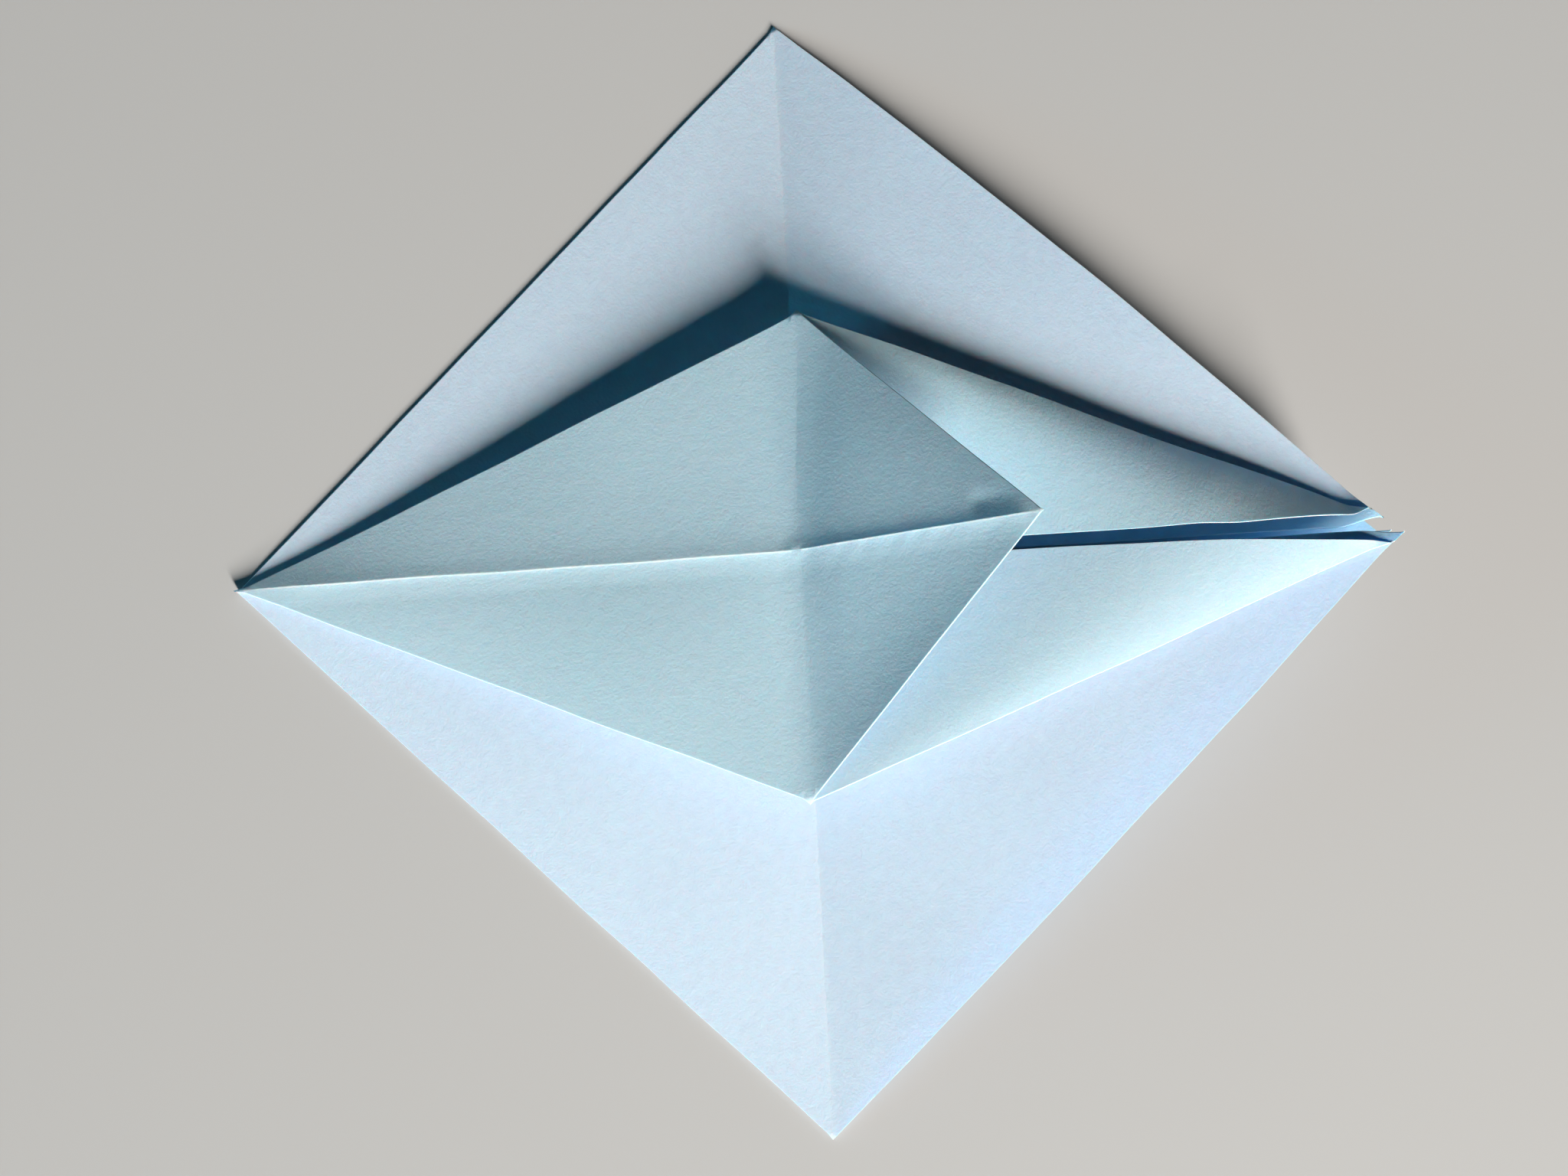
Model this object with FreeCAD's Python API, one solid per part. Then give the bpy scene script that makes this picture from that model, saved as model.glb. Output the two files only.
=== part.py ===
import FreeCAD, Part
import math, os
from FreeCAD import Vector

# A bellflower at its petal-fold step: one square of paper folded to a square base, with one flap
# squashed, petal-folded and turned back down. The closed corner points to -X and the loose
# corners to +X. The back layer lies on the table, z = 0, below the middle of the square.

# ---------------------------------------------------------------- driving dimensions, mm
paper_side = 150.0          # the flat square
paper_thick = 0.15
layer_pitch = 0.26          # between the middles of two layers in a closed fold
crease_half = 0.35          # half the width that a soft crease takes
slight_half = 0.08          # and that the slight bend to a sprung edge takes
fold_flats = 4              # flats round each fold
pinch = 0.15                # share of the thickness left at the points where closed folds meet

# Heights above the table, mm. The closed edges lie low, and the folds spring open between them.
upper_flap_lift = 1.8       # upper side flap, at the middle of its inner fold
upper_corner_lift = 7.3     # upper side flap, at its loose corner
lower_flap_lift = 4.7
lower_corner_lift = 10.1
tucked_flap_lift = 1.9      # flap that is folded away under the lower one
tucked_corner_lift = 8.0
upper_wing_lift = 5.4       # side points of the petal
lower_wing_lift = 9.9
root_lift = 8.4             # where the petal hinges on the ridge
petal_tip_lift = 19.3
upper_slit_drop = 0.7       # inner ends of the slit's two edges, below the root
lower_slit_drop = 1.6
back_corner_lift = 6.0      # the back layer's loose corner curls up
back_curl_start = 0.42      # where its curl starts, as a share of the way to that corner

# How far the loose edges spring up from the straight lines between their ends, mm.
upper_flap_spring = 1.8
lower_flap_spring = 1.1
door_spring = 2.2
door_spring_at = 0.55       # its place on the upper door's edge, as a share of it from the slit

# The petal folds are made by hand and miss their ideal places, mm on the flat sheet.
upper_wing_slip = (0.9, 0.15)
lower_wing_slip = (-0.45, -0.2)
root_slip = (-0.35, -0.2)
upper_fold_short = 2.6      # from the petal folds' ends to the loose corners
lower_fold_short = 1.6

# ---------------------------------------------------------------- the crease pattern, flat
# The origin is the sheet's centre, and +X runs along the ridge to the petal's tip. A bow is the
# point where a loose edge has sprung up highest.
half = paper_side / 2
diagonal = half / math.sqrt(2)          # half the folded square, corner to corner
wing_x = diagonal
wing_y = half - wing_x
door_end = half - upper_fold_short

flat = {
    "centre": (0, 0),
    "side_upper": (0, half),
    "side_petal": (half, 0),
    "side_lower": (0, -half),
    "side_back": (-half, 0),
    "corner_back": (-half, half),
    "corner_upper": (half, half),
    "corner_lower": (half, -half),
    "corner_tucked": (-half, -half),
    "mid_upper": (half / 2, half / 2),
    "mid_lower": (half / 2, -half / 2),
    "mid_tucked": (-half / 2, -half / 2),
    "wing_upper": (wing_x + upper_wing_slip[0], wing_y + upper_wing_slip[1]),
    "wing_lower": (wing_x + lower_wing_slip[0], -wing_y + lower_wing_slip[1]),
    "root": (wing_x + root_slip[0], root_slip[1]),
    "slit_upper": (half, wing_y),
    "slit_lower": (half, -wing_y),
    "end_upper": (half, door_end),
    "end_lower": (half, lower_fold_short - half),
    "bow_upper": (half / 2, half),
    "bow_lower": (half / 2, -half),
    "bow_door": (half, wing_y + (door_end - wing_y) * door_spring_at),
    "curl_upper": (-half * back_curl_start, half),
    "curl_lower": (-half, half * back_curl_start),
}

# Each panel between the creases, anticlockwise seen from the paper's outer side. Its first three
# points set its plane once folded.
panels = {
    "back": ("centre", "side_upper", "side_back", "curl_upper", "curl_lower"),
    "back_curl": ("curl_upper", "corner_back", "curl_lower"),
    "upper_flap_in": ("centre", "mid_upper", "side_upper"),
    "upper_flap_mid": ("mid_upper", "bow_upper", "side_upper"),
    "upper_flap_out": ("mid_upper", "corner_upper", "bow_upper"),
    "upper_pleat_in": ("centre", "wing_upper", "mid_upper"),
    "upper_pleat_out": ("corner_upper", "mid_upper", "wing_upper", "end_upper"),
    "upper_kite": ("centre", "root", "wing_upper"),
    "upper_petal": ("root", "side_petal", "wing_upper"),
    "upper_hem": ("side_petal", "slit_upper", "wing_upper"),
    "upper_door_in": ("slit_upper", "bow_door", "wing_upper"),
    "upper_door_out": ("bow_door", "end_upper", "wing_upper"),
    "lower_kite": ("centre", "wing_lower", "root"),
    "lower_petal": ("root", "wing_lower", "side_petal"),
    "lower_hem": ("side_petal", "wing_lower", "slit_lower"),
    "lower_door": ("slit_lower", "wing_lower", "end_lower"),
    "lower_pleat_in": ("centre", "mid_lower", "wing_lower"),
    "lower_pleat_out": ("wing_lower", "mid_lower", "corner_lower", "end_lower"),
    "lower_flap_in": ("centre", "side_lower", "mid_lower"),
    "lower_flap_mid": ("mid_lower", "side_lower", "bow_lower"),
    "lower_flap_out": ("mid_lower", "bow_lower", "corner_lower"),
    "tucked_top_in": ("centre", "mid_tucked", "side_lower"),
    "tucked_top_out": ("mid_tucked", "corner_tucked", "side_lower"),
    "tucked_base_in": ("centre", "side_back", "mid_tucked"),
    "tucked_base_out": ("mid_tucked", "side_back", "corner_tucked"),
}

# How the layers stack at each point that closed folds share, in layer pitches above its own place.
# The three folds above the ridge fill the same height at the closed corner as the five below it.
side_step = 5 / 3
levels = {
    "centre": {"tucked_base": 1, "tucked_top": 2, "lower_flap": 3, "lower_pleat": 4,
               "lower_kite": 5, "upper_kite": 5, "upper_flap": side_step,
               "upper_pleat": 2 * side_step},
    "side_upper": {"upper_flap": side_step},
    "side_back": {"tucked_base": 1},
    "side_lower": {"tucked_top": 2, "lower_flap": 3},
    "mid_upper": {"upper_pleat": side_step},
    "corner_upper": {"upper_pleat": side_step},
    "mid_lower": {"lower_pleat": 1},
    "corner_lower": {"lower_pleat": 1},
    "mid_tucked": {"tucked_top": 1},
    "corner_tucked": {"tucked_top": 1},
    "wing_upper": {"upper_hem": -1, "upper_door": -2, "upper_pleat": -3},
    "wing_lower": {"lower_hem": -1, "lower_door": -2, "lower_pleat": -3},
    "side_petal": {"upper_hem": -1, "lower_hem": -1},
    "slit_upper": {"upper_hem": 1},
    "slit_lower": {"lower_hem": 1},
    "end_upper": {"upper_door": 1},
    "end_lower": {"lower_door": 1},
}


def run(a, b):
    """The distance along the paper between two points of the pattern."""
    return math.dist(flat[a], flat[b])


def reach(start, start_run, end, end_run, height):
    """The point at a height that lies at two paper distances from placed points, left of start-end."""
    near = math.sqrt(start_run ** 2 - (height - start.z) ** 2)
    far = math.sqrt(end_run ** 2 - (height - end.z) ** 2)
    line = Vector(end.x - start.x, end.y - start.y, 0)
    along = (line.Length ** 2 + near ** 2 - far ** 2) / (2 * line.Length)
    line.normalize()
    beside = Vector(-line.y, line.x, 0)
    foot = Vector(start.x, start.y, height) + line * along
    return foot + beside * math.sqrt(near ** 2 - along ** 2)


def spread(anchors):
    """The map from the flat sheet to the plane through three placed points of the pattern."""
    (a, b, c) = anchors
    (ax, ay), (bx, by), (cx, cy) = flat[a], flat[b], flat[c]
    area = (bx - ax) * (cy - ay) - (cx - ax) * (by - ay)

    def place(x, y):
        s = ((x - ax) * (cy - ay) - (cx - ax) * (y - ay)) / area
        t = ((bx - ax) * (y - ay) - (x - ax) * (by - ay)) / area
        return anchors[a] * (1 - s - t) + anchors[b] * s + anchors[c] * t

    return place


# ---------------------------------------------------------------- the folded form
def fold_points():
    """Where each point of the pattern lies once folded, in its lowest layer or its visible one."""
    table = paper_thick / 2
    at = {
        "centre": Vector(-diagonal, 0, table),
        "side_upper": Vector(0, diagonal, table),
        "side_lower": Vector(0, -diagonal, table),
        "side_back": Vector(0, -diagonal, table),
    }
    ridge = at["centre"] + Vector(0, 0, levels["centre"]["upper_kite"] * layer_pitch)

    # the back layer and its curled corner
    back = spread({name: at[name] for name in ("centre", "side_upper", "side_back")})
    for name in ("curl_upper", "curl_lower"):
        at[name] = back(*flat[name])
    at["corner_back"] = reach(at["curl_upper"], run("curl_upper", "corner_back"),
                              at["curl_lower"], run("curl_lower", "corner_back"), back_corner_lift)

    # the loose flaps, each from the middle of its inner fold to its corner
    at["mid_upper"] = reach(at["side_upper"], run("side_upper", "mid_upper"),
                            at["centre"], run("centre", "mid_upper"), upper_flap_lift)
    at["corner_upper"] = reach(at["side_upper"], run("side_upper", "corner_upper"),
                               at["mid_upper"], run("mid_upper", "corner_upper"), upper_corner_lift)
    for flap, mid_lift, corner_lift in (("lower", lower_flap_lift, lower_corner_lift),
                                        ("tucked", tucked_flap_lift, tucked_corner_lift)):
        mid, corner = "mid_" + flap, "corner_" + flap
        at[mid] = reach(at["centre"], run("centre", mid),
                        at["side_lower"], run("side_lower", mid), mid_lift)
        at[corner] = reach(at[mid], run(mid, corner),
                           at["side_lower"], run("side_lower", corner), corner_lift)

    # the kite and the petal that hinges across it
    at["wing_upper"] = reach(ridge, run("centre", "wing_upper"),
                             at["corner_upper"], run("corner_upper", "wing_upper"), upper_wing_lift)
    at["root"] = reach(at["wing_upper"], run("wing_upper", "root"),
                       ridge, run("centre", "root"), root_lift)
    at["wing_lower"] = reach(at["root"], run("root", "wing_lower"),
                             ridge, run("centre", "wing_lower"), lower_wing_lift)
    at["side_petal"] = reach(at["wing_upper"], run("wing_upper", "side_petal"),
                             at["wing_lower"], run("wing_lower", "side_petal"), petal_tip_lift)

    # the two doors beside the slit
    at["slit_upper"] = reach(at["side_petal"], run("side_petal", "slit_upper"),
                             at["wing_upper"], run("wing_upper", "slit_upper"),
                             root_lift - upper_slit_drop)
    at["slit_lower"] = reach(at["wing_lower"], run("wing_lower", "slit_lower"),
                             at["side_petal"], run("side_petal", "slit_lower"),
                             root_lift - lower_slit_drop)
    for side in ("upper", "lower"):
        pleat = side + "_pleat_out"
        anchors = {name: layer(at, pleat, name) for name in panels[pleat][:3]}
        at["end_" + side] = spread(anchors)(*flat["end_" + side])

    # the loose edges spring up between their ends
    for bow, near, far, rise in (("bow_upper", "side_upper", "corner_upper", upper_flap_spring),
                                 ("bow_lower", "side_lower", "corner_lower", lower_flap_spring),
                                 ("bow_door", "slit_upper", "end_upper", door_spring)):
        share = run(near, bow) / run(near, far)
        at[bow] = at[near] * (1 - share) + at[far] * share + Vector(0, 0, rise)
    return at


def layer(at, panel, point):
    """The place of a point in one panel's own layer of the stack."""
    family = "_".join(panel.split("_")[:2])
    level = levels.get(point, {}).get(family, 0)
    return at[point] + Vector(0, 0, level * layer_pitch)


def outline(panel):
    """The panel's points in order round it."""
    x0 = sum(flat[p][0] for p in panels[panel]) / len(panels[panel])
    y0 = sum(flat[p][1] for p in panels[panel]) / len(panels[panel])
    return sorted(panels[panel], key=lambda p: math.atan2(flat[p][1] - y0, flat[p][0] - x0))


def step_back(before, here, after, width_in, width_out):
    """The corner of an outline after its two edges have stepped inwards."""
    (ux, uy) = (here[0] - before[0], here[1] - before[1])
    (vx, vy) = (after[0] - here[0], after[1] - here[1])
    u_len, v_len = math.hypot(ux, uy), math.hypot(vx, vy)
    turn = (ux * vy - uy * vx) / (u_len * v_len)
    back = width_out / turn
    on = width_in / turn
    return (here[0] - ux / u_len * back + vx / v_len * on,
            here[1] - uy / u_len * back + vy / v_len * on)


class Sheet:
    """The middle surface of the folded sheet: nodes, and the faces between them."""

    def __init__(self):
        self.nodes = []
        self.faces = []
        self.at = fold_points()
        self.order = {panel: outline(panel) for panel in panels}
        self.maps = {panel: spread({p: layer(self.at, panel, p) for p in panels[panel][:3]})
                     for panel in panels}
        self.creases = self.find_creases()
        self.corners = {panel: self.add_panel(panel) for panel in panels}
        self.bends = {}
        for crease in self.creases:
            self.add_bend(*crease)
        for point in flat:
            self.add_meeting(point)

    def add_node(self, place, normal, share=1.0):
        self.nodes.append((place, normal, share * paper_thick / 2))
        return len(self.nodes) - 1

    def find_creases(self):
        """Each pair of panels that share an edge, with its ends and half the width of its bend."""
        owner = {}
        for panel, points in self.order.items():
            for a, b in zip(points, points[1:] + points[:1]):
                owner[a, b] = panel
        creases = {}
        for (a, b), panel in owner.items():
            other = owner.get((b, a))
            if other and panel < other:
                gap = sum((self.maps[panel](*flat[p]) - self.maps[other](*flat[p])).Length
                          for p in (a, b)) / 2
                slight = a.startswith("bow") or b.startswith("bow")
                open_half = slight_half if slight else crease_half
                creases[panel, other, a, b] = max(open_half * (gap < paper_thick),
                                                  math.pi / 4 * gap)
        return creases

    def width(self, a, b):
        for (_, _, p, q), half_width in self.creases.items():
            if {a, b} == {p, q}:
                return half_width
        return 0.0

    def normal(self, panel):
        """The outer side's direction on a panel."""
        here = self.maps[panel](0, 0)
        side = self.maps[panel](1, 0) - here
        up = self.maps[panel](0, 1) - here
        return side.cross(up).normalize()

    def add_panel(self, panel):
        """The flat part of a panel, clear of the bends along its creases."""
        points = self.order[panel]
        normal = self.normal(panel)
        corners = {}
        for before, here, after in zip(points[-1:] + points[:-1], points, points[1:] + points[:1]):
            spot = step_back(flat[before], flat[here], flat[after],
                             self.width(before, here), self.width(here, after))
            corners[here] = self.add_node(self.maps[panel](*spot), normal)
        self.faces.append([corners[p] for p in points])
        return corners

    def outwards(self, panel, a, b):
        """The direction in a panel's plane that runs over its edge a-b."""
        (ax, ay), (bx, by) = flat[a], flat[b]
        return (self.maps[panel](by - ay, ax - bx) - self.maps[panel](0, 0)).normalize()

    def add_bend(self, left, right, a, b):
        """The bend between two panels, left and right of the crease from a to b."""
        pull = 0.8 * self.creases[left, right, a, b]
        leave = self.outwards(left, a, b) * pull
        enter = self.outwards(right, b, a) * pull
        start = [self.nodes[self.corners[left][p]][0] for p in (a, b)]
        end = [self.nodes[self.corners[right][p]][0] for p in (a, b)]
        along = ((start[1] - start[0]).normalize() + (end[1] - end[0]).normalize()).normalize()
        rows = []
        for p, first, last in zip((a, b), start, end):
            curve = Part.BezierCurve()
            curve.setPoles([first, first + leave, last + enter, last])
            row = [self.corners[left][p]]
            for i in range(1, fold_flats):
                place = curve.value(i / fold_flats)
                normal = curve.tangent(i / fold_flats)[0].cross(along).normalize()
                row.append(self.add_node(place, normal))
            row.append(self.corners[right][p])
            rows.append(row)
            self.bends[left, right, p] = row
            self.bends[right, left, p] = row[::-1]
        for i in range(fold_flats):
            near, far = rows[0][i:i + 2], rows[1][i:i + 2]
            self.faces.append([near[0], near[1], far[1]])
            self.faces.append([near[0], far[1], far[0]])

    def around(self, point):
        """The panels round a point, anticlockwise, and whether they close a full turn."""
        steps = {}
        for panel, points in self.order.items():
            if point in points:
                i = points.index(point)
                steps[points[(i + 1) % len(points)]] = (panel, points[i - 1])
        ends = {end for _, end in steps.values()}
        loose = [start for start in steps if start not in ends]
        start = loose[0] if loose else next(iter(steps))
        ring = []
        while start in steps:
            panel, start = steps.pop(start)
            ring.append(panel)
        return ring, not loose

    def add_meeting(self, point):
        """The small fan of paper where the bends round a point of the pattern meet."""
        ring, closed = self.around(point)
        if not closed and len(ring) < 3 and not (point.startswith("corner") and len(ring) == 2):
            return
        pairs = list(zip(ring, ring[1:]))
        if closed:
            pairs.append((ring[-1], ring[0]))
        loop = []
        for one, other in pairs:
            row = self.bends[one, other, point]
            loop += row if not loop else row[1:]
        place = sum((self.maps[panel](*flat[point]) for panel in ring), Vector()) / len(ring)
        normal = sum((self.nodes[n][1] for n in loop), Vector()).normalize()
        share = 1.0
        if any(self.normal(one).dot(self.normal(other)) < 0 for one, other in pairs):
            tip = place - sum((self.nodes[n][0] for n in loop), Vector()) / len(loop)
            normal = tip.normalize() * math.copysign(1, tip.dot(normal))
            share = pinch
        centre = self.add_node(place, normal, share)
        for one, other in zip(loop, loop[1:]):
            self.faces.append([centre, one, other])

    def thicken(self):
        """The closed solid, half the thickness each side of the middle surface."""
        outer = [place + normal * half_thick for place, normal, half_thick in self.nodes]
        inner = [place - normal * half_thick for place, normal, half_thick in self.nodes]
        skins = []
        for face in self.faces:
            skins.append([outer[n] for n in face])
            skins.append([inner[n] for n in reversed(face)])
        edges = {(a, b) for face in self.faces for a, b in zip(face, face[1:] + face[:1])}
        for a, b in edges:
            if (b, a) not in edges:
                skins.append([inner[a], inner[b], outer[b]])
                skins.append([inner[a], outer[b], outer[a]])
        faces = [Part.Face(Part.makePolygon(points + points[:1])) for points in skins]
        shell = Part.Shell(faces)
        shell.sewShape()
        solid = Part.Solid(shell)
        if solid.Volume < 0:
            solid.reverse()
        return solid


os.makedirs("parts", exist_ok=True)
folded_sheet = Sheet().thicken()
folded_sheet.exportStep("parts/folded_sheet.step")
box = folded_sheet.BoundBox
print("folded_sheet valid", folded_sheet.isValid(), "faces", len(folded_sheet.Faces))
print("volume", round(folded_sheet.Volume, 1), "flat", paper_side ** 2 * paper_thick)
print("box", [round(v, 2) for v in (box.XMin, box.YMin, box.ZMin, box.XMax, box.YMax, box.ZMax)])
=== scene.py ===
import math

import bpy
import numpy as np
from mathutils import Matrix, Vector, geometry, noise


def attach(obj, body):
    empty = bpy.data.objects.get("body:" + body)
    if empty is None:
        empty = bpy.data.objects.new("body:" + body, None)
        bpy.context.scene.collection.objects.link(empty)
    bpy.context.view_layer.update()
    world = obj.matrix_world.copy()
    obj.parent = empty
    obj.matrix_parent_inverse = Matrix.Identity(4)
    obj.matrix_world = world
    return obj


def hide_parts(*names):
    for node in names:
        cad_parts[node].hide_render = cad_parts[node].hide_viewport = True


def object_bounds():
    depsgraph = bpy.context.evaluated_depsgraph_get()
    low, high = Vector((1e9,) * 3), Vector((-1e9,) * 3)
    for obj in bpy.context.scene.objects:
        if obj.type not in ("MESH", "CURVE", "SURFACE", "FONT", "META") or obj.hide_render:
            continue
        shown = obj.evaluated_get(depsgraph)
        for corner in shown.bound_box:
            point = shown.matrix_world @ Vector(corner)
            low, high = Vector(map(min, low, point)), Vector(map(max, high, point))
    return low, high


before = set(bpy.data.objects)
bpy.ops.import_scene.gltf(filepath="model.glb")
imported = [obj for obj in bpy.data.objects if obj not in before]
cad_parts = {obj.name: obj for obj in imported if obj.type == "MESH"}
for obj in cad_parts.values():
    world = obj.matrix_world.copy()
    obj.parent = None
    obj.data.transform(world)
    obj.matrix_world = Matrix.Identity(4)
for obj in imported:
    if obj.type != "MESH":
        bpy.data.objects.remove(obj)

# A bellflower at its petal-fold step, as one fine mesh of folded paper. The sheet is drawn flat
# as its crease pattern, each panel is carried to its place in the folded form, and the folds
# between them are bent round. Lengths of the sheet are in millimetres until the mesh is made.

MM = 0.001
TINY = 1e-9                 # keeps a division from failing where nothing is divided
INSIDE_ONLY = 1             # asks for the triangles inside a border, and none outside it
CAD_NODE = "folded_sheet"
cad_low, cad_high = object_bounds()

# ---------------------------------------------------------------- driving dimensions, mm
paper_thick = 0.11
layer_pitch = 0.17          # between the middles of two layers in a closed fold

diagonal = (cad_high.y - cad_low.y) / 2 / MM    # half the folded square, corner to corner
half = diagonal * math.sqrt(2)                  # half the flat sheet's side
wing_x = diagonal
wing_y = half - wing_x
kite_angle = math.radians(22.5)                 # from the ridge to the kite's outer edge

# The mesh.
seen_step = 0.72            # between mesh points on a panel that shows
hidden_step = 1.9           # and on one that is folded away
ridge_step = 0.42           # and beside the ridge, where the paper is crinkled
ridge_reach = 3.0
rim_clearance = 0.55        # from a panel's inner points to its rim, as a share of their step
closeness = 1e-6            # mesh points nearer than this are one
fold_flats = 8              # flats round each fold

# Half the width of each open crease. A crisp one was pressed with a nail, a soft one by hand.
crisp = 0.17
plain = 0.35
firm = 0.45
loose = 0.5
soft = 0.6
softest = 0.9

# How far a bend runs on before it turns, as a share of its half width: little in a closed fold,
# which was pressed to a sharp edge.
open_pull = 0.8
closed_pull = 0.3

# Heights above the table.
upper_flap_lift = 1.8
upper_corner_lift = 7.4
lower_flap_lift = 4.7
lower_corner_lift = 10.1
tucked_flap_lift = 1.9
tucked_corner_lift = 8.0
upper_wing_lift = 6.2
lower_wing_lift = 9.9
root_lift = 8.4
petal_tip_lift = 19.3
back_corner_lift = 6.0

# How far each door's end of the slit lies below the petal's root.
upper_slit_drop = 0.7
lower_slit_drop = 1.6

# Where the back corner's curl begins, as a share of the way to it from the middle of each side.
back_curl_start = 0.42

# Where the hand-made folds miss their ideal places on the flat sheet.
upper_wing_slip = (0.9, 0.15)
lower_wing_slip = (-0.45, -0.2)
root_slip = (-0.35, -0.2)
upper_fold_short = 1.9
lower_fold_short = 1.6

# How far the paper springs from the flat between its creases.
upper_door_spring = 3.7     # the doors' loose edges
lower_door_spring = 1.5
door_lean = 1.8             # above 1, the crown of the edge is nearer the corner
door_curve = 1.5            # above 1, a door bends up most beside its loose edge
door_overlap = 0.01         # how far past its loose edge a door still springs, as a share of it
door_tip = 0.04             # the share of its length next to the corner where its spring dies out
upper_fold_bow = 1.1        # the fold from the petal's side to the upper corner arches
upper_fold_reach = 14.0
upper_flap_spring = 1.8     # the side flaps' loose edges
lower_flap_spring = 1.1
swells = {                  # the crown of a panel that is held all round, or its hollow
    ("centre", "side_lower", "mid_lower"): 0.8,
    ("root", "side_petal", "wing_upper"): 0.4,
    ("centre", "wing_lower", "root"): 0.25,
    ("root", "wing_lower", "side_petal"): -0.3,
}
rounding_slope = 0.2        # how steeply each side of the root's cross creases climbs from them,
root_rounding = 1.5         # and how far from them their panels begin to curve
upper_wing_rounding = 4.2
lower_wing_rounding = 1.7

# The ridge was pressed until it stood proud of its panels.
ridge_rise = 0.16
ridge_band = 1.8            # it falls away over this much of its lower side
ridge_lip = 0.12            # with its very edge raised a little more
ridge_lip_fade = 0.25
kite_ridge_fade = 1.8       # its upper side falls away gently on the kite
petal_ridge_fade = 0.6      # and steeply on the petal
fade_change = (-5.0, 2.0)   # it changes from the one to the other between here, about the hinge
ridge_side = 6.0            # nothing of it is left this far out
ridge_start = 8.0           # it comes up over this much from the closed corner
ridge_end = 3.0             # and goes down over this much before the petal's tip

# The petal's upper half falls away from the ridge faster than its lower half.
petal_arch = 0.3
petal_arch_fade = 3.0
petal_arch_band = 20.0
petal_arch_start = 4.0      # it comes up over this much from the root
petal_arch_end = 2.0        # and goes down over this much before the petal's tip

# The kite's upper edge is pressed down near the closed corner.
press_depth = 0.6
press_run = 13.0

# Small creases beside the petal's ridge.
crinkle = 0.04
crinkle_reach = 1.7
crinkle_pace = 0.85         # how fast they follow each other along the ridge,
crinkle_slant = 0.5         # how far they lean away from it,
crinkle_drift = 0.3         # and how fast each one changes along its length
crinkle_slice = 1.5         # the slice of the noise that they are taken from

# A dent in the petal's upper half, near its tip.
dent_at = (69.6, 1.5)       # on the flat sheet
dent_depth = 0.2
dent_before = 0.45          # it begins sharply, and fades towards the tip
dent_after = 2.2
dent_wide = 0.7

# The lower flap's corner is flicked up.
hook_rise = 0.5
hook_reach = 4.0

# Slow waves that the whole stack follows, and how far its edges stray from straight lines.
wave_rise = 0.14
wave_length = 15.0
wave_slice = 9
wave_free = 4.0             # the waves are whole from this height up, and gone on the table
wander = 0.07
wander_length = 8.0
wander_slice = 40
wander_seed = 1             # without it, each run would wander in its own way

# Small pulls that the folding hand gave the paper: the stretch of the flat sheet that moves most,
# how far round it the pull is felt, and how far it moves to the right, back and up.
pulls = (
    ((half, 28), (half, 50), 20, (0, -0.9, 0)),
    ((half, 60), (half, 70), 5, (0, -0.35, 0)),
    ((half, 75), (half, 75), 5, (-0.7, 0.7, 0.5)),
    ((half, -34), (half, -24), 16, (0, -0.45, 0)),
    ((half, -68), (half, -60), 12, (0, 0.25, 0)),
    ((half, -75), (half, -75), 4, (-0.25, -0.3, 0)),
)

# ---------------------------------------------------------------- the crease pattern, flat
flat = {
    "centre": (0, 0),
    "side_upper": (0, half),
    "side_petal": (half, 0),
    "side_lower": (0, -half),
    "side_back": (-half, 0),
    "corner_back": (-half, half),
    "corner_upper": (half, half),
    "corner_lower": (half, -half),
    "corner_tucked": (-half, -half),
    "mid_upper": (half / 2, half / 2),
    "mid_lower": (half / 2, -half / 2),
    "mid_tucked": (-half / 2, -half / 2),
    "wing_upper": (wing_x + upper_wing_slip[0], wing_y + upper_wing_slip[1]),
    "wing_lower": (wing_x + lower_wing_slip[0], -wing_y + lower_wing_slip[1]),
    "root": (wing_x + root_slip[0], root_slip[1]),
    "slit_upper": (half, wing_y),
    "slit_lower": (half, -wing_y),
    "end_upper": (half, half - upper_fold_short),
    "end_lower": (half, lower_fold_short - half),
    "curl_upper": (-half * back_curl_start, half),
    "curl_lower": (-half, half * back_curl_start),
}

# The points along the ridge, from the closed corner to the petal's tip.
ridge = ("centre", "root", "side_petal")

# Each panel between the creases, by its points. The first three set its plane once folded.
panels = {
    "back": ("centre", "side_upper", "side_back", "curl_upper", "curl_lower"),
    "back_curl": ("curl_upper", "corner_back", "curl_lower"),
    "upper_flap_in": ("centre", "mid_upper", "side_upper"),
    "upper_flap_out": ("mid_upper", "corner_upper", "side_upper"),
    "upper_pleat_in": ("centre", "wing_upper", "mid_upper"),
    "upper_pleat_out": ("corner_upper", "mid_upper", "wing_upper", "end_upper"),
    "upper_kite": ("centre", "root", "wing_upper"),
    "upper_petal": ("root", "side_petal", "wing_upper"),
    "upper_hem": ("side_petal", "slit_upper", "wing_upper"),
    "upper_door": ("slit_upper", "end_upper", "wing_upper"),
    "lower_kite": ("centre", "wing_lower", "root"),
    "lower_petal": ("root", "wing_lower", "side_petal"),
    "lower_hem": ("side_petal", "wing_lower", "slit_lower"),
    "lower_door": ("slit_lower", "wing_lower", "end_lower"),
    "lower_pleat_in": ("centre", "mid_lower", "wing_lower"),
    "lower_pleat_out": ("wing_lower", "mid_lower", "corner_lower", "end_lower"),
    "lower_flap_in": ("centre", "side_lower", "mid_lower"),
    "lower_flap_out": ("mid_lower", "side_lower", "corner_lower"),
    "tucked_top_in": ("centre", "mid_tucked", "side_lower"),
    "tucked_top_out": ("mid_tucked", "corner_tucked", "side_lower"),
    "tucked_base_in": ("centre", "side_back", "mid_tucked"),
    "tucked_base_out": ("mid_tucked", "side_back", "corner_tucked"),
}

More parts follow.
